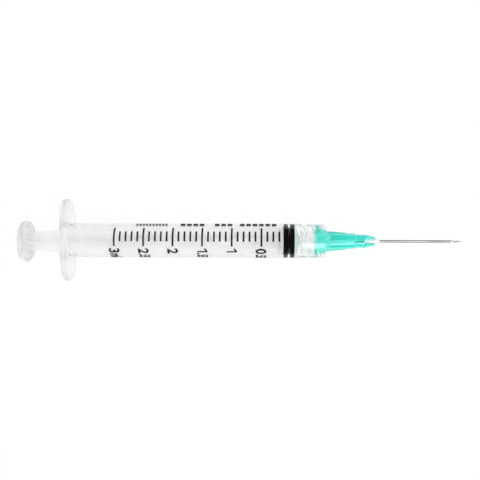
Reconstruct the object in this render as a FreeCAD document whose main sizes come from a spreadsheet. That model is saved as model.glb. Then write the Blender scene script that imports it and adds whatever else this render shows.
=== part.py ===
import FreeCAD, Part
import math
import os
import re
import Sketcher

# A 3 ml syringe with a screwed-on needle, plunger pushed right home. Millimetres.
# X runs along the syringe towards the needle, Y along the finger flange, Z up.
# The origin is on the axis, at the flange's front face, where the barrel starts.

os.makedirs("parts", exist_ok=True)
doc = FreeCAD.newDocument("Syringe")
sheet = doc.addObject("Spreadsheet::Sheet", "Sizes")

# Driving dimensions: name, size, what it is
SIZES = [
    ("barrel_rad", 5.0, "outer radius of the barrel"),
    ("bore_rad", 4.33, "radius of the bore that the stopper seals"),
    ("bore_len", 66.1, "flange front to the start of the conical bottom"),
    ("cone_len", 1.25, "depth of the conical bottom"),
    ("floor_len", 1.8, "start of the conical bottom to the collar's floor"),
    ("mouth_lead", 0.35, "chamfer where the plunger goes in"),
    ("bead_at", 4.0, "flange front to the bead that keeps the stopper in"),
    ("bead_half", 0.6, "half the length of that bead at its foot"),
    ("bead_rise", 0.12, "height of that bead"),
    ("flange_len", 24.2, "finger flange, tip to tip"),
    ("flange_wide", 11.8, "finger flange, across"),
    ("flange_end_rad", 4.8, "radius of the flange's ends"),
    ("flange_thick", 1.7, "thickness of the flange"),
    ("flange_edge", 0.35, "bevel of the flange's edges"),
    ("flange_root", 0.35, "bevel where the barrel meets the flange"),
    ("collar_rad", 4.84, "outer radius of the lock collar"),
    ("collar_deep", 7.1, "depth of the lock collar"),
    ("collar_edge", 0.35, "bevel of the collar's outer rim"),
    ("collar_lead", 0.2, "chamfer of the collar's mouth"),
    ("thread_major", 4.05, "radius at the bottom of the collar's thread"),
    ("thread_minor", 3.52, "radius at the crest of the collar's thread"),
    ("thread_lead", 5.0, "advance of the thread in one turn"),
    ("thread_root", 0.95, "width of the ridge at its foot"),
    ("thread_crest", 0.5, "width of the ridge at its crest"),
    ("thread_gap", 0.8, "collar floor to the middle of the ridge's start"),
    ("thread_len", 5.5, "length of the ridge along the axis"),
    ("thread_sink", 0.1, "how far the ridge reaches into the collar's wall"),
    ("nozzle_proud", 2.4, "how far the nozzle stands out of the collar"),
    ("nozzle_rad", 1.965, "radius of the nozzle at its end"),
    ("nozzle_edge", 0.2, "chamfer of the nozzle's end"),
    ("nozzle_bore", 0.95, "radius of the nozzle's bore"),
    ("luer_slope", 0.03, "rise of the radius for each millimetre of the taper"),
    ("disc_rad", 6.0, "radius of the thumb rest"),
    ("disc_thick", 1.05, "thickness of the thumb rest"),
    ("disc_edge", 0.25, "bevel of the thumb rest's rim"),
    ("disc_gap", 11.3, "flange's rear face to the thumb rest, pushed home"),
    ("dish_rad", 4.9, "radius of the shallow dish in the thumb rest"),
    ("dish_deep", 0.25, "depth of that dish"),
    ("fin_thick", 1.0, "thickness of the rod's four fins"),
    ("fin_rear", 2.7, "reach of the fins at the thumb rest"),
    ("fin_full", 3.92, "reach of the fins inside the barrel"),
    ("fin_taper", 17.3, "length over which the fins grow"),
    ("fin_foot", 0.3, "fillet between the fins"),
    ("fin_turn", -21.0, "how far the fins are turned about the axis, degrees"),
    ("plate_rad", 4.0, "radius of the plate behind the stopper"),
    ("plate_thick", 1.0, "thickness of that plate"),
    ("neck_rad", 1.4, "radius of the neck that carries the head"),
    ("neck_len", 1.2, "length of that neck inside the stopper"),
    ("head_rad", 2.4, "widest radius of the head that holds the stopper"),
    ("head_band", 0.6, "length of the head at its widest"),
    ("head_cone", 1.5, "length of the head's taper"),
    ("head_end", 1.5, "radius of the head's front end"),
    ("head_gap", 0.03, "gap between the head and the stopper"),
    ("seal_back", 3.8, "stopper's rear face to the start of the conical bottom"),
    ("seal_body", 3.9, "radius of the stopper between its ribs"),
    ("seal_gap", 0.03, "gap between the stopper's ribs and the bore"),
    ("rib_rear_at", 1.25, "stopper's rear face to the middle of its rear rib"),
    ("rib_front_at", 3.15, "stopper's rear face to the middle of its front rib"),
    ("rib_half", 0.65, "half the length of a rib at its foot"),
    ("rib_flat", 0.42, "half the length of a rib near its crest"),
    ("rib_edge", 0.14, "bevel of a rib's crest"),
    ("nose_gap", 0.2, "gap between the stopper's nose and the conical bottom"),
    ("hub_grip", 5.5, "length of the nozzle that the hub covers"),
    ("hub_gap", 0.03, "gap between the nozzle and the hub"),
    ("hub_len", 17.6, "length of the needle hub"),
    ("hub_socket", 8.2, "depth of the hub's tapered socket"),
    ("hub_throat", 1.2, "length of the cone from the socket to the needle"),
    ("rim_rad", 3.2, "radius of the hub's rear rim"),
    ("rim_len", 0.35, "length of the hub's rear rim"),
    ("root_rad", 2.94, "radius of the hub inside the collar"),
    ("root_len", 3.2, "hub's rear face to the start of its grip"),
    ("waist_rad", 2.55, "radius of the hub between its grip ribs, at the rear"),
    ("waist_at", 4.7, "hub's rear face to where that radius starts"),
    ("band_rad", 2.25, "radius of the hub just behind its nose"),
    ("band_at", 11.8, "hub's rear face to the step down to the nose"),
    ("nose_rad", 1.98, "radius of the hub's nose"),
    ("nose_at", 14.9, "hub's rear face to the start of the nose's taper"),
    ("nose_end", 1.3, "radius of the hub's front end"),
    ("grip_len", 6.1, "length of the hub's four grip ribs"),
    ("grip_end", 2.5, "reach of the grip ribs at their front ends"),
    ("grip_wide", 1.1, "width of a grip rib"),
    ("lug_rad", 3.9, "reach of the hub's two screw lugs"),
    ("lug_thick", 0.9, "thickness of a lug"),
    ("lug_half_turn", 36.0, "half the angle that a lug spans, degrees"),
    ("lug_seat", 0.05, "gap between a tightened lug and the ridge before it"),
    ("slot_wide", 0.9, "width of the slots in the hub's nose"),
    ("slot_len", 6.0, "length of those slots"),
    ("slot_floor", 0.3, "axis to the floor of a slot"),
    ("well_rad", 0.8, "radius of the glue well"),
    ("well_deep", 3.1, "depth of the glue well"),
    ("needle_rad", 0.41, "outer radius of the needle"),
    ("needle_bore", 0.257, "inner radius of the needle"),
    ("needle_out", 25.8, "length of needle in front of the hub"),
    ("bevel_len", 4.4, "length of the bevel"),
    ("bevel_turn", 15.0, "how far the bevel is turned about the axis, degrees"),
    ("lancet_len", 2.3, "length of the two side facets at the point"),
    ("lancet_turn", 42.0, "turn of the side facets, degrees"),
    ("glue_foot", 1.0, "radius of the glue bead at the hub"),
    ("glue_waist", 0.72, "radius of the glue bead half way out"),
    ("glue_edge", 0.46, "radius of the glue bead at its front"),
    ("glue_len", 1.3, "length of the glue bead in front of the hub"),
    ("spare", 2.0, "how far a cutting shape reaches past the solid"),
]

# Places that follow from the sizes above
PLACES = {
    "flange_half": "flange_wide / 2",
    "flange_mid": "flange_len / 2 - flange_end_rad",
    "flange_side_rad": "(flange_mid ^ 2 + flange_half ^ 2 - flange_end_rad ^ 2)"
                       " / (2 * (flange_half - flange_end_rad))",
    "flange_drop": "flange_side_rad - flange_half",
    "join_out": "flange_mid + flange_end_rad * flange_mid / (flange_side_rad - flange_end_rad)",
    "join_up": "flange_end_rad * flange_drop / (flange_side_rad - flange_end_rad)",
    "collar_floor": "bore_len + floor_len",
    "collar_end": "collar_floor + collar_deep",
    "nozzle_end": "collar_end + nozzle_proud",
    "nozzle_foot": "nozzle_rad + luer_slope * (nozzle_end - collar_floor)",
    "disc_front": "-flange_thick - disc_gap",
    "disc_rear": "disc_front - disc_thick",
    "seal_rear": "bore_len - seal_back",
    "plate_front": "seal_rear - head_gap",
    "plate_rear": "plate_front - plate_thick",
    "head_start": "seal_rear + neck_len",
    "head_wide": "head_start + head_band",
    "head_stop": "head_wide + head_cone",
    "seal_crest": "bore_rad - seal_gap",
    "seal_nose": "bore_len + cone_len - nose_gap",
    "hub_rear": "nozzle_end - hub_grip",
    "socket_rad": "nozzle_rad + luer_slope * hub_grip + hub_gap",
    "socket_end": "hub_rear + hub_socket",
    "throat_end": "socket_end + hub_throat",
    "hub_front": "hub_rear + hub_len",
    "lug_mid": "hub_rear + lug_thick / 2 + thread_lead * lug_half_turn / 360",
    "ridge_at_lug": "thread_crest + (thread_root - thread_crest)"
                    " * (lug_rad - thread_minor) / (thread_major - thread_minor)",
    "ridge_mid": "lug_mid + lug_thick / 2 + lug_seat + ridge_at_lug / 2",
    "ridge_start": "collar_floor + thread_gap",
    "ridge_turn": "(ridge_start - ridge_mid) / thread_lead * 360",
    "ridge_foot": "(thread_root + thread_sink * (thread_root - thread_crest)"
                  " / (thread_major - thread_minor)) / 2",
    "point_at": "hub_front + needle_out",
    "heel_at": "point_at - bevel_len",
    "well_floor": "hub_front - well_deep",
}

# Points closer than this are taken as one place
NEAR = 1e-4

NAMES = {name for name, size, note in SIZES}
for row, (name, size, note) in enumerate(SIZES, start=1):
    sheet.set(f"A{row}", note)
    sheet.set(f"B{row}", str(size))
    sheet.setAlias(f"B{row}", name)
doc.recompute()


def bound(text):
    """Write an expression on sizes and places as one on the sheet's cells."""
    def cell(word):
        name = word.group()
        if name in PLACES:
            return "(" + bound(PLACES[name]) + ")"
        return "Sizes." + name if name in NAMES else name
    return re.sub(r"[a-z_]+", cell, str(text))


def size(text):
    """Value of an expression on sizes and places."""
    return float(sheet.evalExpression(bound(text)))


def new_body(label):
    body = doc.addObject("PartDesign::Body", label)
    body.Label = label
    return body


def new_sketch(body, name, plane, turn="0", lift="0"):
    """An empty sketch on an origin plane, turned about its own X and lifted off the plane."""
    sketch = body.newObject("Sketcher::SketchObject", name)
    base = [part for part in body.Origin.OriginFeatures if part.Role == plane][0]
    sketch.AttachmentSupport = [(base, "")]
    sketch.MapMode = "FlatFace"
    sketch.AttachmentOffset = FreeCAD.Placement(
        FreeCAD.Vector(0, 0, size(lift)), FreeCAD.Rotation(FreeCAD.Vector(1, 0, 0), size(turn)))
    sketch.setExpression(".AttachmentOffset.Base.z", bound(lift))
    return sketch


def place_point(sketch, line, end, across, up):
    """Tie one end of a line or arc to a place in the sketch."""
    for kind, text, tag in (("DistanceX", across, "across"), ("DistanceY", up, "up")):
        index = sketch.addConstraint(Sketcher.Constraint(kind, -1, 1, line, end, size(text)))
        sketch.renameConstraint(index, f"{tag}{line}")
        sketch.setExpression(f"Constraints.{tag}{line}", bound(text))


def outline(body, name, points, plane="XY_Plane", turn="0", lift="0"):
    """A closed outline of straight lines through points given as pairs of expressions."""
    sketch = new_sketch(body, name, plane, turn, lift)
    corners = [FreeCAD.Vector(size(across), size(up), 0) for across, up in points]
    count = len(corners)
    for line in range(count):
        sketch.addGeometry(Part.LineSegment(corners[line], corners[(line + 1) % count]), False)
    for line in range(count):
        sketch.addConstraint(Sketcher.Constraint("Coincident", line, 2, (line + 1) % count, 1))
    for line, (across, up) in enumerate(points):
        place_point(sketch, line, 1, across, up)
    return sketch


def revolve(body, name, points, cut=False):
    """Turn an outline once round the X axis, as solid or as a cut."""
    sketch = outline(body, name + "Outline", points)
    kind = "PartDesign::Groove" if cut else "PartDesign::Revolution"
    feature = body.newObject(kind, name)
    feature.Profile = sketch
    feature.ReferenceAxis = (sketch, ["H_Axis"])
    feature.Angle = 360
    doc.recompute()
    return feature


def pad(body, name, sketch, length, both=False, backwards=False):
    feature = body.newObject("PartDesign::Pad", name)
    feature.Profile = sketch
    feature.Midplane = both
    feature.Reversed = backwards
    feature.setExpression("Length", bound(length))
    doc.recompute()
    return feature


def pocket(body, name, sketch, length, both=False, backwards=False):
    before = body.Shape.Volume
    feature = body.newObject("PartDesign::Pocket", name)
    feature.Profile = sketch
    feature.Midplane = both
    feature.Reversed = backwards
    feature.setExpression("Length", bound(length))
    doc.recompute()
    if body.Shape.Volume >= before:
        raise RuntimeError(name + " cuts nothing")
    return feature


def helix(body, name, points, turn, height):
    """Sweep an outline along the thread's right-hand helix about the X axis."""
    sketch = outline(body, name + "Outline", points, turn=turn)
    doc.recompute()
    feature = body.newObject("PartDesign::AdditiveHelix", name)
    feature.Profile = sketch
    feature.ReferenceAxis = (sketch, ["H_Axis"])
    feature.Mode = 0
    feature.setExpression("Pitch", bound("thread_lead"))
    feature.setExpression("Height", bound(height))
    doc.recompute()
    return feature


def dress(body, name, kind, field, amount, wanted):
    """Fillet or bevel the edges of the body's present shape that wanted() picks."""
    base = body.Tip
    edges = [f"Edge{index}" for index, edge in enumerate(base.Shape.Edges, start=1) if wanted(edge)]
    if not edges:
        raise RuntimeError(name + " finds no edge")
    feature = body.newObject(kind, name)
    feature.Base = (base, edges)
    feature.setExpression(field, bound(amount))
    doc.recompute()
    return feature


def make_barrel():
    body = new_body("barrel")
    revolve(body, "Outside", [
        ("-flange_thick", "0"), ("-flange_thick", "barrel_rad"), ("0", "barrel_rad"),
        ("0", "barrel_rad + flange_root"), ("flange_root", "barrel_rad"),
        ("collar_floor", "barrel_rad"), ("collar_floor + barrel_rad - collar_rad", "collar_rad"),
        ("collar_end - collar_edge", "collar_rad"), ("collar_end", "collar_rad - collar_edge"),
        ("collar_end", "nozzle_rad + luer_slope * nozzle_proud"),
        ("nozzle_end - nozzle_edge", "nozzle_rad + luer_slope * nozzle_edge"),
        ("nozzle_end", "nozzle_rad - nozzle_edge"), ("nozzle_end", "0")])
    pad(body, "Flange", flange_outline(body), "flange_thick", backwards=True)

    def flange_edge(edge):
        ends = [point.Point for point in edge.Vertexes]
        flat = all(abs(point.x) < NEAR or abs(point.x + size("flange_thick")) < NEAR for point in ends)
        level = abs(ends[0].x - ends[-1].x) < NEAR
        root = size("barrel_rad + flange_root")
        outside = all(math.hypot(point.y, point.z) > root + NEAR for point in ends)
        return flat and level and outside
    dress(body, "FlangeEdge", "PartDesign::Chamfer", "Size", "flange_edge", flange_edge)
    revolve(body, "Bore", [
        ("-flange_thick - spare", "0"), ("-flange_thick - spare", "bore_rad + mouth_lead"),
        ("-flange_thick", "bore_rad + mouth_lead"), ("-flange_thick + mouth_lead", "bore_rad"),
        ("bead_at - bead_half", "bore_rad"), ("bead_at", "bore_rad - bead_rise"),
        ("bead_at + bead_half", "bore_rad"), ("bore_len", "bore_rad"),
        ("bore_len + cone_len", "nozzle_bore"), ("nozzle_end + spare", "nozzle_bore"),
        ("nozzle_end + spare", "0")], cut=True)
    revolve(body, "Collar", [
        ("collar_floor", "nozzle_foot"), ("collar_floor", "thread_major"),
        ("collar_end - collar_lead", "thread_major"), ("collar_end", "thread_major + collar_lead"),
        ("collar_end + spare / 2", "thread_major + collar_lead"),
        ("collar_end + spare / 2", "nozzle_rad + luer_slope * (nozzle_proud - spare / 2)")], cut=True)
    ridge = [
        ("ridge_start - ridge_foot", "thread_major + thread_sink"),
        ("ridge_start + ridge_foot", "thread_major + thread_sink"),
        ("ridge_start + thread_crest / 2", "thread_minor"),
        ("ridge_start - thread_crest / 2", "thread_minor")]
    helix(body, "FirstRidge", ridge, "ridge_turn", "thread_len")
    helix(body, "SecondRidge", ridge, "ridge_turn + 180", "thread_len")
    return body


def flange_outline(body):
    """Four arcs, drawn anticlockwise from the flange's right end."""
    sketch = new_sketch(body, "FlangeOutline", "YZ_Plane")
    end_rad, side_rad = size("flange_end_rad"), size("flange_side_rad")
    join = math.atan2(size("flange_drop"), size("flange_mid"))
    up = FreeCAD.Vector(0, 0, 1)
    arcs = [
        (size("flange_mid"), 0, end_rad, -join, join),
        (0, -size("flange_drop"), side_rad, join, math.pi - join),
        (-size("flange_mid"), 0, end_rad, math.pi - join, math.pi + join),
        (0, size("flange_drop"), side_rad, math.pi + join, 2 * math.pi - join)]
    for across, high, radius, start, stop in arcs:
        circle = Part.Circle(FreeCAD.Vector(across, high, 0), up, radius)
        sketch.addGeometry(Part.ArcOfCircle(circle, start, stop), False)
    starts = [("join_out", "-join_up"), ("join_out", "join_up"),
              ("-join_out", "join_up"), ("-join_out", "-join_up")]
    for arc, (across, high) in enumerate(starts):
        sketch.addConstraint(Sketcher.Constraint("Coincident", arc, 2, (arc + 1) % len(starts), 1))
        place_point(sketch, arc, 1, across, high)
        radius = ("flange_end_rad", "flange_side_rad")[arc % 2]
        index = sketch.addConstraint(Sketcher.Constraint("Radius", arc, size(radius)))
        sketch.renameConstraint(index, f"bend{arc}")
        sketch.setExpression(f"Constraints.bend{arc}", bound(radius))
    return sketch


def make_plunger_rod():
    body = new_body("plunger_rod")
    side, tip = "fin_thick / 2", "fin_full"
    cross = [
        (side, side), (side, tip), ("-" + side, tip), ("-" + side, side), ("-" + tip, side),
        ("-" + tip, "-" + side), ("-" + side, "-" + side), ("-" + side, "-" + tip), (side, "-" + tip),
        (side, "-" + side), (tip, "-" + side), (tip, side)]
    fins = outline(body, "FinsOutline", cross, plane="YZ_Plane", lift="disc_front")
    pad(body, "Fins", fins, "plate_rear - disc_front")

    def fin_foot(edge):
        ends = [point.Point for point in edge.Vertexes]
        if len(ends) < 2 or abs(ends[0].x - ends[1].x) < NEAR:
            return False
        foot = size("fin_thick") / math.sqrt(2)
        return all(abs(math.hypot(point.y, point.z) - foot) < NEAR for point in ends)
    dress(body, "FinFoot", "PartDesign::Fillet", "Radius", "fin_foot", fin_foot)
    revolve(body, "FinTaper", [
        ("disc_front", "fin_rear"), ("disc_front + fin_taper", "fin_full"),
        ("disc_front + fin_taper", "fin_full + spare"), ("disc_front", "fin_full + spare")], cut=True)
    revolve(body, "ThumbRest", [
        ("disc_rear", "0"), ("disc_rear", "disc_rad - disc_edge"),
        ("disc_rear + disc_edge", "disc_rad"), ("disc_front - disc_edge", "disc_rad"),
        ("disc_front", "disc_rad - disc_edge"), ("disc_front", "0")])
    revolve(body, "Dish", [
        ("disc_rear - spare", "0"), ("disc_rear - spare", "dish_rad"), ("disc_rear", "dish_rad"),
        ("disc_rear + dish_deep", "dish_rad - dish_deep"), ("disc_rear + dish_deep", "0")], cut=True)
    revolve(body, "Head", [
        ("plate_rear", "0"), ("plate_rear", "plate_rad"), ("plate_front", "plate_rad"),
        ("plate_front", "neck_rad"), ("head_start", "neck_rad"), ("head_start", "head_rad"),
        ("head_wide", "head_rad"), ("head_stop", "head_end"), ("head_stop", "0")])
    body.Placement = FreeCAD.Placement(
        FreeCAD.Vector(0, 0, 0), FreeCAD.Rotation(FreeCAD.Vector(1, 0, 0), size("fin_turn")))
    return body


def make_stopper():
    body = new_body("stopper")
    ribs = []
    for middle in ("seal_rear + rib_rear_at", "seal_rear + rib_front_at"):
        ribs += [
            (f"{middle} - rib_half", "seal_body"), (f"{middle} - rib_flat", "seal_crest - rib_edge"),
            (f"{middle} - rib_flat + rib_edge", "seal_crest"),
            (f"{middle} + rib_flat - rib_edge", "seal_crest"),
            (f"{middle} + rib_flat", "seal_crest - rib_edge"), (f"{middle} + rib_half", "seal_body")]
    revolve(body, "Rubber", [
        ("seal_rear", "neck_rad + head_gap"), ("seal_rear", "seal_body"), *ribs,
        ("seal_nose", "nozzle_bore"), ("seal_nose", "0"), ("head_stop + head_gap", "0"),
        ("head_stop + head_gap", "head_end + head_gap"), ("head_wide", "head_rad + head_gap"),
        ("head_start - head_gap", "head_rad + head_gap"),
        ("head_start - head_gap", "neck_rad + head_gap")])
    return body


def make_needle_hub():
    body = new_body("needle_hub")
    revolve(body, "Outside", [
        ("hub_rear", "0"), ("hub_rear", "rim_rad"), ("hub_rear + rim_len", "rim_rad"),
        ("hub_rear + rim_len", "root_rad"), ("hub_rear + root_len", "root_rad"),
        ("hub_rear + waist_at", "waist_rad"), ("hub_rear + band_at", "band_rad"),
        ("hub_rear + band_at + band_rad - nose_rad", "nose_rad"), ("hub_rear + nose_at", "nose_rad"),
        ("hub_front", "nose_end"), ("hub_front", "0")])
    grip = [
        ("hub_rear + root_len - spare / 2", "socket_rad + hub_gap"),
        ("hub_rear + root_len + grip_len", "socket_rad + hub_gap"),
        ("hub_rear + root_len + grip_len", "grip_end"), ("hub_rear + root_len", "root_rad"),
        ("hub_rear + root_len - spare / 2", "root_rad")]
    for index, turn in enumerate(("0", "90", "180", "270"), start=1):
        rib = outline(body, f"Grip{index}Outline", grip, turn=turn)
        pad(body, f"Grip{index}", rib, "grip_wide", both=True)
    lug = [
        ("hub_rear", "root_rad - hub_gap"), ("hub_rear + lug_thick", "root_rad - hub_gap"),
        ("hub_rear + lug_thick", "lug_rad"), ("hub_rear", "lug_rad")]
    helix(body, "UpperLug", lug, "-lug_half_turn", "thread_lead * lug_half_turn / 180")
    helix(body, "LowerLug", lug, "180 - lug_half_turn", "thread_lead * lug_half_turn / 180")
    revolve(body, "Socket", [
        ("hub_rear - spare", "0"), ("hub_rear - spare", "socket_rad + luer_slope * spare"),
        ("socket_end", "socket_rad - luer_slope * hub_socket"), ("throat_end", "needle_rad"),
        ("well_floor", "needle_rad"), ("well_floor", "well_rad"), ("hub_front + spare", "well_rad"),
        ("hub_front + spare", "0")], cut=True)
    slot = [
        ("hub_front - slot_len", "-slot_wide / 2"), ("hub_front + spare", "-slot_wide / 2"),
        ("hub_front + spare", "slot_wide / 2"), ("hub_front - slot_len", "slot_wide / 2")]
    for name, turn in (("TopSlot", "0"), ("BottomSlot", "180")):
        cut = outline(body, name + "Outline", slot, turn=turn, lift="slot_floor")
        pocket(body, name, cut, "band_rad + spare", backwards=True)
    return body


def make_cannula():
    body = new_body("cannula")
    revolve(body, "Tube", [
        ("throat_end", "needle_bore"), ("throat_end", "needle_rad"),
        ("point_at", "needle_rad"), ("point_at", "needle_bore")])
    bevel = [
        ("heel_at", "needle_rad"), ("point_at", "-needle_rad"),
        ("point_at + spare", "-needle_rad"), ("point_at + spare", "needle_rad + spare"),
        ("heel_at", "needle_rad + spare")]
    cut = outline(body, "BevelOutline", bevel, plane="XZ_Plane")
    pocket(body, "Bevel", cut, "spare", both=True)
    low = "-needle_rad * cos(lancet_turn)"
    lancet = [
        ("point_at - lancet_len", "needle_rad"), ("point_at", low), ("point_at + spare", low),
        ("point_at + spare", "needle_rad + spare"), ("point_at - lancet_len", "needle_rad + spare")]
    for name, turn in (("LeftLancet", "lancet_turn"), ("RightLancet", "-lancet_turn")):
        cut = outline(body, name + "Outline", lancet, plane="XZ_Plane", turn=turn)
        pocket(body, name, cut, "spare", both=True)
    body.Placement = FreeCAD.Placement(
        FreeCAD.Vector(0, 0, 0), FreeCAD.Rotation(FreeCAD.Vector(1, 0, 0), size("bevel_turn")))
    return body


def make_needle_glue():
    body = new_body("needle_glue")
    revolve(body, "Bead", [
        ("well_floor", "needle_rad"), ("well_floor", "well_rad"), ("hub_front", "well_rad"),
        ("hub_front", "glue_foot"), ("hub_front + glue_len / 2", "glue_waist"),
        ("hub_front + glue_len", "glue_edge"), ("hub_front + glue_len", "needle_rad")])
    return body


PIECES = [make_barrel(), make_plunger_rod(), make_stopper(),
          make_needle_hub(), make_cannula(), make_needle_glue()]
doc.recompute()

# Nothing is written unless every object and every piece is sound
for item in doc.Objects:
    if "Invalid" in item.State or "Error" in item.State:
        raise RuntimeError(f"{item.Name} failed: {item.State}")
for piece in PIECES:
    if piece.Shape.isNull() or not piece.Shape.isValid() or len(piece.Shape.Solids) != 1:
        raise RuntimeError(piece.Label + " is not one sound solid")
for piece in PIECES:
    piece.Shape.exportStep(f"parts/{piece.Label}.step")
    print(piece.Label, round(piece.Shape.Volume, 3))
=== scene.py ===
import math

import bmesh
import bpy
from mathutils import Matrix, Vector


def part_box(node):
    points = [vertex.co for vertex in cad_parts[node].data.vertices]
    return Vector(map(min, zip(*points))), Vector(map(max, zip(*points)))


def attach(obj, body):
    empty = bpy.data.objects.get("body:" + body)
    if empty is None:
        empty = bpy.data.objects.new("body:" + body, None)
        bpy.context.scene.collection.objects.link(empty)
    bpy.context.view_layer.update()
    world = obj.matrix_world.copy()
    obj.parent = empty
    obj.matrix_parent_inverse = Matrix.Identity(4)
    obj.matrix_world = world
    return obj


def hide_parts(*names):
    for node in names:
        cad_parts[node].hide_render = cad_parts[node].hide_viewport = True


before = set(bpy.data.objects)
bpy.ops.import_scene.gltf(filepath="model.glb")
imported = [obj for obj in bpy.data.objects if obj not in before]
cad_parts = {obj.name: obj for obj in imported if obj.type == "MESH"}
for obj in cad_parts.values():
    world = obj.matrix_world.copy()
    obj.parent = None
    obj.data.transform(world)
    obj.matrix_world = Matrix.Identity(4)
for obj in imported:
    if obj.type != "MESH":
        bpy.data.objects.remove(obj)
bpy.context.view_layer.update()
mm = 0.001  # shapes are drawn in millimetres and made in metres
weld = 1e-7  # points nearer than this, in metres, become one
sharpFrom = 35  # edges that turn more than this, in degrees, stay sharp
print("frame loaded")


def reach(node, corner, axis):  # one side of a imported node's box, in mm
    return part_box(node)[corner][axis] / mm


def rearOf(node):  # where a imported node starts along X
    return reach(node, 0, 0)


def frontOf(node):  # where it ends
    return reach(node, 1, 0)


# Outlines and meshes
def softPath(corners, closed=False, steps=5):  # corners are (along X, radius, rounding)
    out = []
    count = len(corners)
    share = 0.48  # the most of a side that one rounding may take
    for i, (x, r, bend) in enumerate(corners):
        here = Vector((x, r))
        if bend <= 0 or (not closed and i in (0, count - 1)):
            out.append((x, r))
            continue
        back = Vector(corners[i - 1][:2]) - here
        ahead = Vector(corners[(i + 1) % count][:2]) - here
        half = back.angle(ahead) / 2
        run = min(bend / math.tan(half), back.length * share, ahead.length * share)
        start = here + back.normalized() * run
        inward = (back.normalized() + ahead.normalized()).normalized()
        middle = here + inward * (run / math.cos(half))
        spoke = start - middle
        turn = spoke.angle_signed(here + ahead.normalized() * run - middle)
        for k in range(steps + 1):
            a = -turn * k / steps
            out.append((middle.x + spoke.x * math.cos(a) - spoke.y * math.sin(a),
                        middle.y + spoke.x * math.sin(a) + spoke.y * math.cos(a)))
    return out


def addPiece(name, bm, look, angle=sharpFrom):
    bmesh.ops.remove_doubles(bm, verts=bm.verts, dist=weld)
    bmesh.ops.recalc_face_normals(bm, faces=bm.faces)
    mesh = bpy.data.meshes.new(name)
    bm.to_mesh(mesh)
    bm.free()
    mesh.polygons.foreach_set("use_smooth", [True] * len(mesh.polygons))
    mesh.set_sharp_from_angle(angle=math.radians(angle))
    mesh.materials.append(look)
    piece = bpy.data.objects.new(name, mesh)
    bpy.context.scene.collection.objects.link(piece)
    return piece


def skin(bm, rows, wrapRows=False, wrapPoints=True):  # quads between rows of points in mm
    made = [[bm.verts.new(Vector(p) * mm) for p in row] for row in rows]
    pairs = list(zip(made, made[1:])) + ([(made[-1], made[0])] if wrapRows else [])
    for a, b in pairs:
        n = len(a)
        for k in range(n if wrapPoints else n - 1):
            bm.faces.new((a[k], a[(k + 1) % n], b[(k + 1) % n], b[k]))
    return made


def turned(outline, around, closed=False):  # (along X, radius) points, or a function of the angle
    bm = bmesh.new()
    rows = []
    for k in range(around):
        a = 2 * math.pi * k / around
        path = outline(a) if callable(outline) else outline
        rows.append([(x, r * math.cos(a), r * math.sin(a)) for x, r in path])
    skin(bm, rows, wrapRows=True, wrapPoints=closed)
    bmesh.ops.remove_doubles(bm, verts=bm.verts, dist=weld)
    return bm


def lofted(rows):  # a solid through rows of points, with flat ends
    bm = bmesh.new()
    made = skin(bm, rows)
    bm.faces.new(made[0])
    bm.faces.new(made[-1])
    return bm


def roundEdges(bm, edge, steps=3):
    bmesh.ops.bevel(bm, geom=bm.edges[:], offset=edge * mm, segments=steps, profile=0.5, affect="EDGES")


def block(low, high, edge):  # a box with rounded edges, in mm
    bm = bmesh.new()
    bmesh.ops.create_cube(bm, size=1.0)
    for v in bm.verts:
        v.co = Vector([(low[k] if v.co[k] < 0 else high[k]) * mm for k in range(3)])
    roundEdges(bm, edge)
    return bm


def combine(base, tools, operation):  # joins or cuts solids and deletes the tools
    for tool in tools:
        step = base.modifiers.new("step", "BOOLEAN")
        step.object, step.operation, step.solver = tool, operation, "EXACT"
        depsgraph = bpy.context.evaluated_depsgraph_get()
        done = bpy.data.meshes.new_from_object(base.evaluated_get(depsgraph))
        base.modifiers.clear()
        base.data = done
        bpy.data.objects.remove(tool)
    base.data.polygons.foreach_set("use_smooth", [True] * len(base.data.polygons))
    base.data.set_sharp_from_angle(angle=math.radians(sharpFrom))
    return base


def rotateMesh(piece, degrees):  # about the syringe's own axis
    piece.data.transform(Matrix.Rotation(math.radians(degrees), 4, "X"))


def giveStocks(piece, stocks, stockAt):  # the piece has the first one, and each face gets its own
    for stock in stocks[1:]:
        piece.data.materials.append(stock)
    for face in piece.data.polygons:
        x, r = face.center.x / mm, math.hypot(face.center.y, face.center.z) / mm
        face.material_index = stocks.index(stockAt(x, r))


def finishPiece(piece, body, node):  # even shading on large faces, then the part it stands for
    even = piece.modifiers.new("evenShading", "WEIGHTED_NORMAL")
    even.mode, even.weight, even.keep_sharp = "FACE_AREA", 50, True
    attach(piece, body)
    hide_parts(node)


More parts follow.
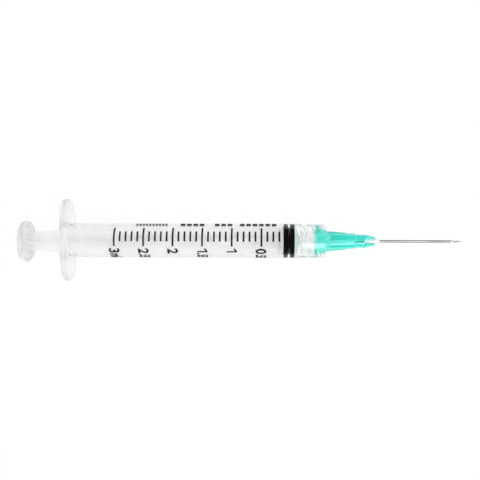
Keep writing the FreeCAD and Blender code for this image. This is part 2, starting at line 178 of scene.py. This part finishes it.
# Finishes
def addFinish(name, sockets, roughness, edge=None):  # roughness varies softly between its low and high
    look = bpy.data.materials.new(name)
    look.use_nodes = True
    nodes, links = look.node_tree.nodes, look.node_tree.links
    main = nodes["Principled BSDF"]
    for socket, value in sockets.items():
        main.inputs[socket].default_value = value
    place = nodes.new("ShaderNodeTexCoord")
    cloud = nodes.new("ShaderNodeTexNoise")
    cloud.inputs["Scale"].default_value = roughness["scale"]
    cloud.inputs["Detail"].default_value = 4
    spread = nodes.new("ShaderNodeMapRange")
    spread.inputs["To Min"].default_value = roughness["low"]
    spread.inputs["To Max"].default_value = roughness["high"]
    links.new(place.outputs["Object"], cloud.inputs["Vector"])
    links.new(cloud.outputs["Fac"], spread.inputs["Value"])
    links.new(spread.outputs["Result"], main.inputs["Roughness"])
    if edge:  # painted shade: the base colour darkens where the surface turns away from the view
        turn = nodes.new("ShaderNodeLayerWeight")
        turn.inputs["Blend"].default_value = 0.5
        bend = nodes.new("ShaderNodeMapRange")
        bend.interpolation_type = "SMOOTHSTEP"
        bend.inputs["From Min"].default_value = edge["low"]
        bend.inputs["From Max"].default_value = edge["high"]
        paintedEdgeShade = nodes.new("ShaderNodeMix")
        paintedEdgeShade.data_type = "RGBA"
        factor, first, second = paintedEdgeShade.inputs[0], paintedEdgeShade.inputs[6], paintedEdgeShade.inputs[7]
        first.default_value = sockets["Base Color"]
        second.default_value = edge["color"]
        links.new(turn.outputs["Facing"], bend.inputs["Value"])
        links.new(bend.outputs["Result"], factor)
        links.new(paintedEdgeShade.outputs[2], main.inputs["Base Color"])
    return look


barrelPlastic = addFinish(
    "barrelPlastic",
    {"Base Color": (0.99, 0.993, 1.0, 1), "Transmission Weight": 1.0, "IOR": 1.49},
    roughness={"scale": 900, "low": 0.02, "high": 0.035},
    # painted shade: the barrel's colour darkens towards its outline, where the surface turns away from the
    # view
    edge={"low": 0.3, "high": 0.8, "color": (0.58, 0.61, 0.65, 1)})
flangePlastic = addFinish(
    "flangePlastic",
    {"Base Color": (0.955, 0.955, 0.958, 1), "Transmission Weight": 0.8, "IOR": 1.49},
    roughness={"scale": 900, "low": 0.3, "high": 0.36})
collarPlastic = addFinish(
    "collarPlastic",
    {"Base Color": (0.96, 0.97, 0.97, 1), "Transmission Weight": 0.97, "IOR": 1.49},
    roughness={"scale": 900, "low": 0.14, "high": 0.20})
endPlastic = addFinish(
    "endPlastic",
    {"Base Color": (0.98, 0.975, 0.975, 1), "Transmission Weight": 0.2, "IOR": 1.49},
    roughness={"scale": 900, "low": 0.45, "high": 0.55})
threadPlastic = addFinish(  # the low index keeps the ridges faint, as the milky collar does
    "threadPlastic",
    {"Base Color": (0.97, 0.975, 0.975, 1), "Transmission Weight": 1.0, "IOR": 1.18},
    roughness={"scale": 900, "low": 0.2, "high": 0.26})
plungerPlastic = addFinish(
    "plungerPlastic",
    {"Base Color": (0.99, 0.99, 0.99, 1), "Transmission Weight": 0.8, "IOR": 1.49},
    roughness={"scale": 700, "low": 0.42, "high": 0.52})
# painted shade: the thumb rest's faces, a darker copy of the rod's plastic
shadedRestPlastic = addFinish(
    "shadedRestPlastic",
    {"Base Color": (0.80, 0.80, 0.80, 1), "Transmission Weight": 0.75, "IOR": 1.49},
    roughness={"scale": 700, "low": 0.2, "high": 0.26})
# painted light: the thumb rest's rim, a lighter copy of the rod's plastic
litRimPlastic = addFinish(
    "litRimPlastic",
    {"Base Color": (0.94, 0.945, 0.95, 1), "Transmission Weight": 0.6, "IOR": 1.49},
    roughness={"scale": 700, "low": 0.34, "high": 0.44})
stopperRubber = addFinish(
    "stopperRubber",
    {"Base Color": (0.003, 0.003, 0.0035, 1), "IOR": 1.5, "Specular IOR Level": 0.04},
    roughness={"scale": 1500, "low": 0.35, "high": 0.5})
hubPlastic = addFinish(
    "hubPlastic",
    {"Base Color": (0.065, 0.89, 0.77, 1), "Transmission Weight": 0.25, "IOR": 1.49,
     "Coat Weight": 1.0, "Coat Roughness": 0.05},
    roughness={"scale": 800, "low": 0.10, "high": 0.16})
needleSteel = addFinish(
    "needleSteel",
    {"Base Color": (0.66, 0.66, 0.67, 1), "Metallic": 1.0},
    roughness={"scale": 3000, "low": 0.07, "high": 0.12})
# painted highlight: the clear glue is made nearly opaque white, as its wet surface shines
glueWithPaintedHighlight = addFinish(
    "glueWithPaintedHighlight",
    {"Base Color": (0.96, 0.97, 0.965, 1), "Transmission Weight": 0.08, "IOR": 1.52},
    roughness={"scale": 900, "low": 0.2, "high": 0.3})
blackInk = addFinish(
    "blackInk",
    {"Base Color": (0.006, 0.006, 0.007, 1), "IOR": 1.45, "Specular IOR Level": 0.3},
    roughness={"scale": 1800, "low": 0.5, "high": 0.7})
print("finishes made")

# Barrel: one moulding, drawn as an outline that changes round the axis
barrelSizes = {
    "radius": 5.0, "bore": 4.33, "boreEnd": 66.1, "coneEnd": 67.35, "mouthLead": 0.35,
    "bead": (2.8, 4.0, 5.2), "beadRise": 0.12,  # its start, top and end along X
    "flangeEndRadius": 4.8, "flangeEdge": 0.5, "flangeRoot": 0.35,
    "collarRadius": 4.85, "collarFloor": 67.9, "collarEnd": 75.0, "collarRim": 0.45,
    "collarLead": 0.2, "collarStep": 0.6,
    "threadFoot": 4.05, "threadCrest": 3.52, "footWidth": 1.25, "crestWidth": 0.2, "lead": 5.0,
    "threadStart": 68.7, "threadLength": 5.5, "threadFade": 0.4, "ridgeAtY": 73.82,
    "nozzle": 1.965, "taper": 0.03, "nozzleBore": 0.95,
    "flangeStockTo": 0.3, "endStockLap": 0.3, "threadStockFrom": 3.4,
    "around": 240, "threadStep": 0.13,
}


def flangeEdgeAt(angle):  # distance from the axis to the flange's edge, angle from +Y
    s = barrelSizes
    out, half = reach("barrel", 1, 1), reach("barrel", 1, 2)
    mid = out - s["flangeEndRadius"]
    side = (mid ** 2 + half ** 2 - s["flangeEndRadius"] ** 2) / (2 * (half - s["flangeEndRadius"]))
    drop = side - half
    c, t = abs(math.cos(angle)), abs(math.sin(angle))
    tip = mid * (1 + s["flangeEndRadius"] / (side - s["flangeEndRadius"]))
    rise = drop * s["flangeEndRadius"] / (side - s["flangeEndRadius"])
    if t * tip <= c * rise:
        return mid * c + math.sqrt(s["flangeEndRadius"] ** 2 - (mid * t) ** 2)
    return -drop * t + math.sqrt(side ** 2 - (drop * c) ** 2)


def ridgeRise(x, angle):  # height of the two-start thread at a place in the collar
    s = barrelSizes
    quarter = s["lead"] / 4
    off = (x - s["ridgeAtY"] - s["lead"] * angle / (2 * math.pi) + quarter) % (2 * quarter) - quarter
    low, high = s["threadStart"], s["threadStart"] + s["threadLength"]
    fade = min(max(min(x - off - low, high - x + off) / s["threadFade"] + 0.5, 0), 1)
    slope = (s["footWidth"] - s["crestWidth"]) / 2
    rise = min(max((s["footWidth"] / 2 - abs(off)) / slope, 0), 1)
    return (s["threadFoot"] - s["threadCrest"]) * fade * rise * rise * (3 - 2 * rise)


def barrelOutline(angle):  # from the mouth over the outside, down the thread, and back along the bore
    s = barrelSizes
    back, end = rearOf("barrel"), frontOf("barrel")
    foot = s["nozzle"] + s["taper"] * (end - s["collarFloor"])
    flangeEdge = flangeEdgeAt(angle)
    outside = softPath([
        (back + s["mouthLead"], s["bore"], 0.1),
        (back, s["bore"] + s["mouthLead"], 0.1),
        (back, flangeEdge, s["flangeEdge"]),
        (0, flangeEdge, s["flangeEdge"]),
        (0, s["radius"], s["flangeRoot"]),
        (s["collarFloor"], s["radius"], s["collarStep"]),
        (s["collarFloor"] + 0.15, s["collarRadius"], s["collarStep"]),
        (s["collarEnd"], s["collarRadius"], s["collarRim"]),
        (s["collarEnd"], s["threadFoot"] + s["collarLead"], 0.08),
        (s["collarEnd"] - s["collarLead"], s["threadFoot"], 0)])
    x = s["collarEnd"] - s["collarLead"] - s["threadStep"]
    thread = []
    while x > s["collarFloor"] + 0.2:
        thread.append((x, s["threadFoot"] - ridgeRise(x, angle)))
        x -= s["threadStep"]
    low, top, high = s["bead"]
    inside = softPath([
        (s["collarFloor"] + 0.19, s["threadFoot"], 0),
        (s["collarFloor"], s["threadFoot"] - 0.1, 0.1),
        (s["collarFloor"], foot, 0.25),
        (end, s["nozzle"], 0.3),
        (end, s["nozzleBore"], 0.15),
        (s["coneEnd"], s["nozzleBore"], 0.15),
        (s["boreEnd"], s["bore"], 0.25),
        (high, s["bore"], 1.5),
        (top, s["bore"] - s["beadRise"], 2.0),
        (low, s["bore"], 1.5),
        (0.5, s["bore"], 0),
        (back + s["mouthLead"] + 0.3, s["bore"], 0)])
    return outside + thread + inside


def barrelStockAt(x, r):  # thick stock looks milkier than the tube
    s = barrelSizes
    if x < s["flangeStockTo"]:
        return flangePlastic
    if s["boreEnd"] - s["endStockLap"] < x < s["coneEnd"] and r < s["bore"] - 0.01:
        return endPlastic
    if x > s["collarFloor"] + 0.05 and s["threadStockFrom"] < r < s["threadFoot"] + 0.02:
        return threadPlastic
    if x > s["coneEnd"]:
        return collarPlastic
    return barrelPlastic


def makeBarrel():
    bm = turned(barrelOutline, barrelSizes["around"], closed=True)
    piece = addPiece("barrelMoulding", bm, barrelPlastic, angle=50)
    stocks = [barrelPlastic, flangePlastic, collarPlastic, endPlastic, threadPlastic]
    giveStocks(piece, stocks, barrelStockAt)
    finishPiece(piece, "barrel", "barrel")


makeBarrel()
print("barrel made")

# Plunger rod: thumb rest, four fins, plate and head joined into one solid
rodSizes = {
    "disc": 6.0, "discThick": 1.5, "discRim": 0.4, "dish": 4.9, "dishDeep": 0.25,
    "finThick": 1.0, "finRear": 2.7, "finFull": 3.92, "finTaper": 17.3, "finEdge": 0.22, "finFoot": 0.3,
    "finLap": 0.4, "finRuns": (2, 6, 10, 14), "finMiddle": 30,
    "plate": 4.0, "plateThick": 1.0, "plateLap": 0.57, "neck": 1.4,
    "head": 2.4, "headBand": 0.6, "headEnd": 1.5, "headFromSeal": 0.6,
    # the width of the thumb rest's rim that gets the lighter, painted-light copy of the plastic
    "litRimWide": 0.2, "turn": -21.0, "lean": 0.0045, "around": 160,
}
discFront = rearOf("plunger_rod") + rodSizes["discThick"]  # where the thumb rest ends and the fins start


def finSection(x):  # the cross that the four fins make at a place along X
    s = rodSizes
    grown = min(max((x - discFront) / s["finTaper"], 0), 1)
    tip = s["finRear"] + (s["finFull"] - s["finRear"]) * grown
    side = s["finThick"] / 2
    quarter = [(side, side, s["finFoot"]), (side, tip, s["finEdge"]), (-side, tip, s["finEdge"])]
    corners = []
    for k in range(4):
        c, t = round(math.cos(k * math.pi / 2)), round(math.sin(k * math.pi / 2))
        corners += [(y * c - z * t, y * t + z * c, bend) for y, z, bend in quarter]
    return [(x, y, z) for y, z in softPath(corners, closed=True, steps=4)]


def thumbRest():
    s = rodSizes
    back = rearOf("plunger_rod")
    path = softPath([
        (back + s["dishDeep"], 0, 0),
        (back + s["dishDeep"], s["dish"] - s["dishDeep"], 0.2),
        (back, s["dish"], 0.15),
        (back, s["disc"], s["discRim"]),
        (discFront, s["disc"], s["discRim"]),
        (discFront, 0, 0)])
    return addPiece("plungerRod", turned(path, s["around"]), plungerPlastic)


def fourFins(end):
    s = rodSizes
    taperEnd = discFront + s["finTaper"]
    places = [discFront - s["finLap"]] + [discFront + run for run in s["finRuns"]]
    places += [taperEnd, taperEnd + 1, s["finMiddle"], end]
    return addPiece("fins", lofted([finSection(x) for x in places]), plungerPlastic)


def plateAndHead(plateFront):
    s = rodSizes
    headStart = plateFront + s["headFromSeal"]
    front = frontOf("plunger_rod")
    path = softPath([
        (plateFront - s["plateThick"], 0, 0),
        (plateFront - s["plateThick"], s["plate"], 0.2),
        (plateFront, s["plate"], 0.2),
        (plateFront, s["neck"], 0.1),
        (headStart, s["neck"], 0.1),
        (headStart, s["head"], 0.15),
        (headStart + s["headBand"], s["head"], 0.2),
        (front, s["headEnd"], 0.2),
        (front, 0, 0)])
    return addPiece("head", turned(path, s["around"]), plungerPlastic)


def rodStockAt(x, r):  # the thumb rest's faces get a darker copy of the fins' plastic as painted shade, and its rim a lighter copy as painted light
    if x >= discFront + 0.05:
        return plungerPlastic
    return litRimPlastic if r > rodSizes["disc"] - rodSizes["litRimWide"] else shadedRestPlastic


def makeRod():
    s = rodSizes
    plateFront = rearOf("stopper") + s["plateLap"]
    piece = thumbRest()
    combine(piece, [fourFins(plateFront - s["plateThick"] / 2), plateAndHead(plateFront)], "UNION")
    giveStocks(piece, [plungerPlastic, shadedRestPlastic, litRimPlastic], rodStockAt)
    rotateMesh(piece, s["turn"])
    front = frontOf("plunger_rod") * mm
    for v in piece.data.vertices:  # the rod leans as far as its play in the barrel lets it
        v.co.y -= s["lean"] * (front - v.co.x)
    finishPiece(piece, "plunger", "plunger_rod")


makeRod()
print("plunger rod made")

# Stopper: its ribs bear on the bore, as squeezed rubber does
stopperSizes = {
    "rear": 0.6, "body": 3.9, "ribs": (1.3, 3.15), "ribHalf": 0.7, "ribFlat": 0.61, "ribRound": 0.09,
    "press": 0.012, "noseRadius": 0.95,
    "neck": 1.43, "head": 2.43, "headFrom": 1.17, "headTo": 1.8, "cavityEnd": 3.33, "headEnd": 1.53,
    "around": 200,
}


def makeStopper():
    s = stopperSizes
    back, front = rearOf("stopper"), frontOf("stopper")
    crest = barrelSizes["bore"] + s["press"]
    corners = [
        (back + s["cavityEnd"], 0, 0),
        (back + s["cavityEnd"], s["headEnd"], 0.1),
        (back + s["headTo"], s["head"], 0.1),
        (back + s["headFrom"], s["head"], 0.1),
        (back + s["headFrom"], s["neck"], 0.05),
        (back + s["rear"], s["neck"], 0.1)]
    for middle in s["ribs"]:
        corners += [
            (back + middle - s["ribHalf"], s["body"], 0.05),
            (back + middle - s["ribFlat"], crest, s["ribRound"]),
            (back + middle + s["ribFlat"], crest, s["ribRound"]),
            (back + middle + s["ribHalf"], s["body"], 0.05)]
    corners += [(front, s["noseRadius"], 0.3), (front, 0, 0)]
    piece = addPiece("stopperRubber", turned(softPath(corners), s["around"]), stopperRubber)
    finishPiece(piece, "plunger", "stopper")


makeStopper()
print("stopper made")

# Needle hub: turned body, grip ribs, screw lugs and nose slots
hubSizes = {
    "rim": 3.2, "rimLength": 0.35, "root": 2.94, "rootLength": 3.2, "waist": 2.55, "waistAt": 4.7,
    "band": 2.25, "bandAt": 11.8, "nose": 1.98, "noseAt": 14.9, "noseEnd": 1.3,
    "socketGap": 0.03, "grip": 5.5, "socketDeep": 8.2, "throat": 1.2, "well": 0.8, "tube": 0.41,
    "ribs": (0, 90, 180, 270), "ribLength": 6.1, "ribLap": 1.2, "ribFoot": (2.3, 2.2), "ribEnd": 2.5,
    "ribWide": 1.1, "ribEdge": 0.12,
    "lugs": (0, 180), "lug": 3.9, "lugFoot": 2.7, "lugThick": 0.9, "lugEdge": 0.18,
    "lugHalfTurn": 36.0, "lugSteps": 24,
    "slits": (  # start and end back from the front, width, floor: a slit, then the open glue well
        (6.0, 2.9, 0.7, 0.55),
        (3.1, -2.0, 1.66, 0.3)),
    "slitEdge": 0.22, "slitTop": 4, "around": 200,
}


def gripRib(turn):
    s = hubSizes
    back = rearOf("needle_hub")
    rootEnd = back + s["rootLength"]
    start, end = rootEnd - s["ribLap"], rootEnd + s["ribLength"]
    side = [
        (start, s["ribFoot"][0]), (end, s["ribFoot"][1]), (end, s["ribEnd"]),
        (rootEnd, s["root"]), (start, s["root"] - 0.02)]
    half = s["ribWide"] / 2
    bm = lofted([[(x, y, z) for x, z in side] for y in (-half, half)])
    roundEdges(bm, s["ribEdge"])
    piece = addPiece("rib", bm, hubPlastic)
    rotateMesh(piece, turn)
    return piece


def screwLug(turn):
    s = hubSizes
    back = rearOf("needle_hub")
    rows = []
    for k in range(s["lugSteps"] + 1):
        a = math.radians(s["lugHalfTurn"] * (2 * k / s["lugSteps"] - 1))
        x = back + barrelSizes["lead"] * s["lugHalfTurn"] / 180 * k / s["lugSteps"]
        section = softPath([
            (x, s["lugFoot"], 0), (x, s["lug"], s["lugEdge"]),
            (x + s["lugThick"], s["lug"], s["lugEdge"]), (x + s["lugThick"], s["lugFoot"], 0)], steps=4)
        rows.append([(px, r * math.cos(a), r * math.sin(a)) for px, r in section])
    piece = addPiece("lug", lofted(rows), hubPlastic)
    rotateMesh(piece, turn)
    return piece


def hubBody():
    s = hubSizes
    back, front = rearOf("needle_hub"), frontOf("needle_hub")
    wellFloor, throatEnd = rearOf("needle_glue"), rearOf("cannula")
    mouth = barrelSizes["nozzle"] + barrelSizes["taper"] * s["grip"] + s["socketGap"]
    path = softPath([
        (back, mouth, 0.08),
        (back, s["rim"], 0.12),
        (back + s["rimLength"], s["rim"], 0.12),
        (back + s["rimLength"] + 0.1, s["root"], 0.1),
        (back + s["rootLength"], s["root"], 0.5),
        (back + s["waistAt"], s["waist"], 0.8),
        (back + s["bandAt"], s["band"], 0.12),
        (back + s["bandAt"] + 0.2, s["nose"], 0.12),
        (back + s["noseAt"], s["nose"], 0.8),
        (front, s["noseEnd"], 0.15),
        (front, s["well"], 0.06),
        (wellFloor, s["well"], 0.1),
        (wellFloor, s["tube"], 0),
        (throatEnd, s["tube"], 0.1),
        (throatEnd - s["throat"], mouth - barrelSizes["taper"] * s["socketDeep"], 0.4)], closed=True)
    return addPiece("needleHub", turned(path, s["around"], closed=True), hubPlastic)


def noseSlits():
    s = hubSizes
    front = frontOf("needle_hub")
    cuts = []
    for side in (1, -1):
        for start, end, wide, floor in s["slits"]:
            low, high = sorted((side * floor, side * s["slitTop"]))
            bm = block((front - start, -wide / 2, low), (front - end, wide / 2, high), s["slitEdge"])
            cuts.append(addPiece("slit", bm, hubPlastic))
    return cuts


def makeHub():
    s = hubSizes
    piece = hubBody()
    combine(piece, [gripRib(turn) for turn in s["ribs"]] + [screwLug(turn) for turn in s["lugs"]], "UNION")
    combine(piece, noseSlits(), "DIFFERENCE")
    finishPiece(piece, "needle", "needle_hub")


makeHub()
print("needle hub made")

# Steel tube with its three-facet bevel
tubeSizes = {
    "outer": 0.41, "inner": 0.257, "bevel": 4.4, "lancet": 2.3, "lancetTurn": 42.0, "turn": 15.0,
    "cutterPast": 2, "cutterTall": 3, "around": 96,
}


def wedge(heel, low, point, turn):  # everything above a slanted grinding plane
    s = tubeSizes
    tall, end = s["cutterTall"], point + s["cutterPast"]
    side = [(heel, s["outer"]), (point, low), (end, low), (end, tall), (heel, tall)]
    bm = lofted([[(x, y, z) for x, z in side] for y in (-tall, tall)])
    piece = addPiece("wedge", bm, needleSteel)
    rotateMesh(piece, turn)
    return piece


def makeTube():
    s = tubeSizes
    back, point = rearOf("cannula"), frontOf("cannula")
    path = [(back, s["inner"]), (back, s["outer"]), (point, s["outer"]), (point, s["inner"])]
    piece = addPiece("steelTube", turned(path, s["around"], closed=True), needleSteel)
    low = -s["outer"] * math.cos(math.radians(s["lancetTurn"]))
    cuts = [wedge(point - s["bevel"], -s["outer"], point, 0)]
    cuts += [wedge(point - s["lancet"], low, point, turn) for turn in (s["lancetTurn"], -s["lancetTurn"])]
    combine(piece, cuts, "DIFFERENCE")
    rotateMesh(piece, s["turn"])
    finishPiece(piece, "needle", "cannula")


makeTube()
print("needle tube made")

# Glue bead, clear in itself but drawn nearly white as a painted highlight, from the bottom of the well to
# the small cone on the tube
glueSizes = {"well": 0.8, "foot": 1.0, "waist": 0.72, "edge": 0.44, "tube": 0.41, "around": 128}


def makeGlue():
    s = glueSizes
    back, front = rearOf("needle_glue"), frontOf("needle_glue")
    rim = frontOf("needle_hub")
    path = softPath([
        (back, s["tube"], 0),
        (back, s["well"], 0.05),
        (rim, s["well"], 0.02),
        (rim, s["foot"], 0.12),
        (rim + (front - rim) / 2, s["waist"], 0.8),
        (front, s["edge"], 0.02),
        (front, s["tube"], 0)], closed=True)
    piece = addPiece("glueBead", turned(path, s["around"], closed=True), glueWithPaintedHighlight)
    finishPiece(piece, "needle", "needle_glue")


makeGlue()
print("glue bead made")

# Printed scale, a thin skin of ink on the barrel
inkSizes = {
    "thick": 0.012, "sink": 0.004, "cell": 0.22,
    "threeAt": 14.1, "perMl": 16.98, "tenths": 29, "line": 0.52,
    "long": (52.2, -14.5), "short": (36.3, 1.9),  # where the lines run, in degrees from +Z to +Y
    "numbers": ("3ml", "2.5", "2", "1.5", "1", "0.5"), "numberFrom": -22.0,
    "numberTall": 3.0, "numberWide": 0.95, "bold": 0.03, "digitTall": 0.73, "digitGap": 0.07,
    "one": (  # the font's own 1 has a foot, so this one is a stem and a flag
        ((0.22, 0.0), (0.34, 0.0), (0.34, 0.73), (0.22, 0.73)),
        ((0.0, 0.46), (0.22, 0.58), (0.22, 0.73), (0.0, 0.6))),
    "barsRun": (88.0, 66.0),
    "bars": (  # start and end along X, pitch and width of each group
        (20.0, 29.8, 0.95, 0.5),
        (33.0, 40.7, 1.85, 1.35),
        (43.0, 48.6, 1.85, 1.35),
        (50.3, 61.4, 1.85, 1.35)),
}


def onBarrel(bm):  # wraps flat ink, drawn as (X, arc length towards -Y), onto the barrel and thickens it
    s = inkSizes
    out = barrelSizes["radius"]
    lower = bmesh.ops.extrude_face_region(bm, geom=bm.faces[:])
    sunk = {v for v in lower["geom"] if isinstance(v, bmesh.types.BMVert)}
    for v in bm.verts:
        r = out - s["sink"] if v in sunk else out + s["thick"]
        a = v.co.y / out
        v.co = Vector((v.co.x, -r * math.sin(a), r * math.cos(a))) * mm


def flatPatch(bm, x0, x1, run):  # a rectangle between two places along X and two angles from +Z to +Y
    y0, y1 = (-math.radians(a) * barrelSizes["radius"] for a in run)
    steps = max(1, math.ceil(abs(y1 - y0) / inkSizes["cell"]))
    rows = [[bm.verts.new((x, y0 + (y1 - y0) * k / steps, 0)) for x in (x0, x1)] for k in range(steps + 1)]
    for a, b in zip(rows, rows[1:]):
        bm.faces.new((a[0], a[1], b[1], b[0]))


def glyph(mark):  # one digit or letter as a flat mesh, its left edge at 0
    part = bmesh.new()
    if mark == "1":
        for corners in inkSizes["one"]:
            part.faces.new([part.verts.new((x, y, 0)) for x, y in corners])
        return part
    curve = bpy.data.curves.new("digit", "FONT")
    curve.body, curve.size, curve.offset = mark, 1.0, inkSizes["bold"]
    curve.resolution_u = 4
    text = bpy.data.objects.new("digit", curve)
    bpy.context.scene.collection.objects.link(text)
    depsgraph = bpy.context.evaluated_depsgraph_get()
    flat = bpy.data.meshes.new_from_object(text.evaluated_get(depsgraph))
    bpy.data.objects.remove(text)
    part.from_mesh(flat)
    left = min(v.co.x for v in part.verts)
    for v in part.verts:
        v.co.x -= left
    return part


def addNumber(bm, words, at):  # the digits run round the barrel, cut into strips that can bend
    s = inkSizes
    scale = s["numberTall"] / s["digitTall"]
    pen = -math.radians(s["numberFrom"]) * barrelSizes["radius"]
    for mark in words:
        part = glyph(mark)
        for v in part.verts:
            along = at + (v.co.y - s["digitTall"] / 2) * scale
            v.co = Vector((along, pen + v.co.x * scale * s["numberWide"], 0))
        end = max(v.co.y for v in part.verts)
        cut = pen + s["cell"]
        while cut < end:
            everything = part.verts[:] + part.edges[:] + part.faces[:]
            bmesh.ops.bisect_plane(part, geom=everything, plane_co=(0, cut, 0), plane_no=(0, 1, 0))
            cut += s["cell"]
        flat = bpy.data.meshes.new("digit")
        part.to_mesh(flat)
        part.free()
        bm.from_mesh(flat)
        pen = end + s["digitGap"] * scale


def makeInk():
    s = inkSizes
    bm = bmesh.new()
    for k in range(s["tenths"]):
        x = s["threeAt"] + k * s["perMl"] / 10
        run = s["long"] if k % 5 == 0 else s["short"]
        flatPatch(bm, x - s["line"] / 2, x + s["line"] / 2, run)
    for start, end, pitch, wide in s["bars"]:
        for k in range(int((end - start) / pitch)):
            flatPatch(bm, start + k * pitch, start + k * pitch + wide, s["barsRun"])
    for k, words in enumerate(s["numbers"]):
        addNumber(bm, words, s["threeAt"] + k * s["perMl"] / 2)
    onBarrel(bm)
    piece = addPiece("scaleInk", bm, blackInk)
    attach(piece, "barrel")


makeInk()
print("scale printed")

# Stage: pale floor under the flange and the barrel's end, soft light, camera
stageSizes = {
    "restAt": -0.35, "drop": -5.9, "farAt": 67.9, "farDrop": -5.0, "floor": 3000, "glow": 0.95,
    "dimTo": 0.25, "brightFrom": 0.6, "overhead": 0.04, "sides": 1.7, "lowPart": 0.6,
    "axisAt": 14.1, "cameraAlong": 42.35, "targetAlong": 36.165, "targetUp": 0.22, "distance": 172.0,
    "lean": 5.0, "roll": -0.2, "pixels": 585.8, "width": 480, "sensor": 36,
    "lamps": {  # place and size in metres, brightness of the lamp's face
        "softKey": ((0.144, -0.220, 0.380), (0.092, 0.28), 7.0),
        "needleLight": ((0.222, -0.03, 0.430), (0.115, 0.40), 1.3)},
}


def mathNode(tree, operation, *values):  # values are sockets or numbers
    node = tree.nodes.new("ShaderNodeMath")
    node.operation = operation
    for socket, value in zip(node.inputs, values):
        if isinstance(value, (int, float)):
            socket.default_value = value
        else:
            tree.links.new(value, socket)
    return node.outputs[0]


def mixInto(tree, share, first, second, output):  # blends two shaders into the tree's output node
    swap = tree.nodes.new("ShaderNodeMixShader")
    tree.links.new(share, swap.inputs[0])
    tree.links.new(first.outputs[0], swap.inputs[1])
    tree.links.new(second.outputs[0], swap.inputs[2])
    tree.links.new(swap.outputs[0], tree.nodes[output].inputs["Surface"])


def floorPaper():  # shows nearly white to the camera, and keeps the rest for the shadow
    look = bpy.data.materials.new("floorPaper")
    look.use_nodes = True
    look.cycles.emission_sampling = "NONE"
    tree = look.node_tree
    paper = tree.nodes["Principled BSDF"]
    paper.inputs["Base Color"].default_value = (0.95, 0.95, 0.95, 1)
    paper.inputs["Roughness"].default_value = 0.9
    paper.inputs["Specular IOR Level"].default_value = 0.0
    white = tree.nodes.new("ShaderNodeEmission")
    rays = tree.nodes.new("ShaderNodeLightPath").outputs
    seen = mathNode(tree, "MAXIMUM", rays["Is Camera Ray"], rays["Is Glossy Ray"])
    shown = mathNode(tree, "MAXIMUM", seen, rays["Is Transmission Ray"])
    share = mathNode(tree, "MULTIPLY", shown, stageSizes["glow"])
    mixInto(tree, share, paper, white, "Material Output")
    return look


def makeFloor():
    s = stageSizes
    slope = (s["farDrop"] - s["drop"]) / (s["farAt"] - s["restAt"])
    bm = bmesh.new()
    edge = s["floor"]
    corners = [[(x, y, s["drop"] + slope * (x - s["restAt"])) for y in (-edge, edge)] for x in (-edge, edge)]
    skin(bm, corners, wrapPoints=False)
    floor = addPiece("floor", bm, floorPaper())


def makeWorld():  # bright to the left and right, darker overhead, white where the background shows
    s = stageSizes
    world = bpy.data.worlds.new("studio")
    bpy.context.scene.world = world
    world.use_nodes = True
    world.cycles.sampling_method = "NONE"
    tree = world.node_tree
    room = tree.nodes["Background"]
    room.inputs["Color"].default_value = (1, 1, 1, 1)
    white = tree.nodes.new("ShaderNodeBackground")
    white.inputs["Color"].default_value = (1, 1, 1, 1)
    place = tree.nodes.new("ShaderNodeTexCoord")
    split = tree.nodes.new("ShaderNodeSeparateXYZ")
    tree.links.new(place.outputs["Generated"], split.inputs[0])
    spread = tree.nodes.new("ShaderNodeMapRange")
    spread.interpolation_type = "SMOOTHSTEP"
    spread.inputs["From Min"].default_value = s["dimTo"]
    spread.inputs["From Max"].default_value = s["brightFrom"]
    spread.inputs["To Min"].default_value = s["overhead"]
    spread.inputs["To Max"].default_value = s["sides"]
    tree.links.new(mathNode(tree, "ABSOLUTE", split.outputs["X"]), spread.inputs["Value"])
    tree.links.new(spread.outputs["Result"], room.inputs["Strength"])
    rays = tree.nodes.new("ShaderNodeLightPath").outputs
    straight = mathNode(tree, "LESS_THAN", rays["Glossy Depth"], 0.5)
    low = mathNode(tree, "LESS_THAN", split.outputs["Z"], s["lowPart"])
    either = mathNode(tree, "MAXIMUM", straight, low)
    through = mathNode(tree, "MULTIPLY", rays["Is Transmission Ray"], either)
    share = mathNode(tree, "MAXIMUM", rays["Is Camera Ray"], through)
    mixInto(tree, share, room, white, "World Output")


def addLamp(name, at, size, glow):  # a panel that faces the syringe's axis
    lamp = bpy.data.lights.new(name, "AREA")
    lamp.shape = "RECTANGLE"
    lamp.size, lamp.size_y = size
    lamp.energy = glow * math.pi * size[0] * size[1]
    holder = bpy.data.objects.new(name, lamp)
    bpy.context.scene.collection.objects.link(holder)
    holder.location = Vector(at)
    holder.rotation_mode = "QUATERNION"
    holder.rotation_quaternion = Vector((0, -at[1], -at[2])).to_track_quat("-Z", "Y")


def makeCamera():
    s = stageSizes
    lean = math.radians(s["lean"])
    along = s["axisAt"] + s["cameraAlong"]
    eye = Vector((along, s["distance"] * math.sin(lean), s["distance"] * math.cos(lean))) * mm
    target = Vector((s["axisAt"] + s["targetAlong"], s["targetUp"], 0)) * mm
    ahead = (target - eye).normalized()
    right = ahead.cross(Vector((0, math.cos(lean), -math.sin(lean)))).normalized()
    right.rotate(Matrix.Rotation(math.radians(s["roll"]), 3, ahead))
    up = right.cross(ahead)
    lens = bpy.data.cameras.new("photoCamera")
    lens.sensor_width = s["sensor"]
    lens.lens = s["pixels"] * s["sensor"] / s["width"]
    lens.clip_start, lens.clip_end = 0.01, 20
    holder = bpy.data.objects.new("photoCamera", lens)
    bpy.context.scene.collection.objects.link(holder)
    turn = Matrix((right, up, -ahead)).transposed()
    holder.matrix_world = Matrix.Translation(eye) @ turn.to_4x4()
    bpy.context.scene.camera = holder


def setLightPaths():  # many layers of clear plastic lie behind each other
    scene = bpy.context.scene
    scene.view_settings.view_transform = "Standard"
    scene.cycles.max_bounces = 32
    scene.cycles.transmission_bounces = 24
    scene.cycles.glossy_bounces = 16
    scene.cycles.diffuse_bounces = 8
    scene.cycles.blur_glossy = 0


makeFloor()
makeWorld()
for name, (at, size, glow) in stageSizes["lamps"].items():
    addLamp(name, at, size, glow)
makeCamera()
setLightPaths()
print("stage set")
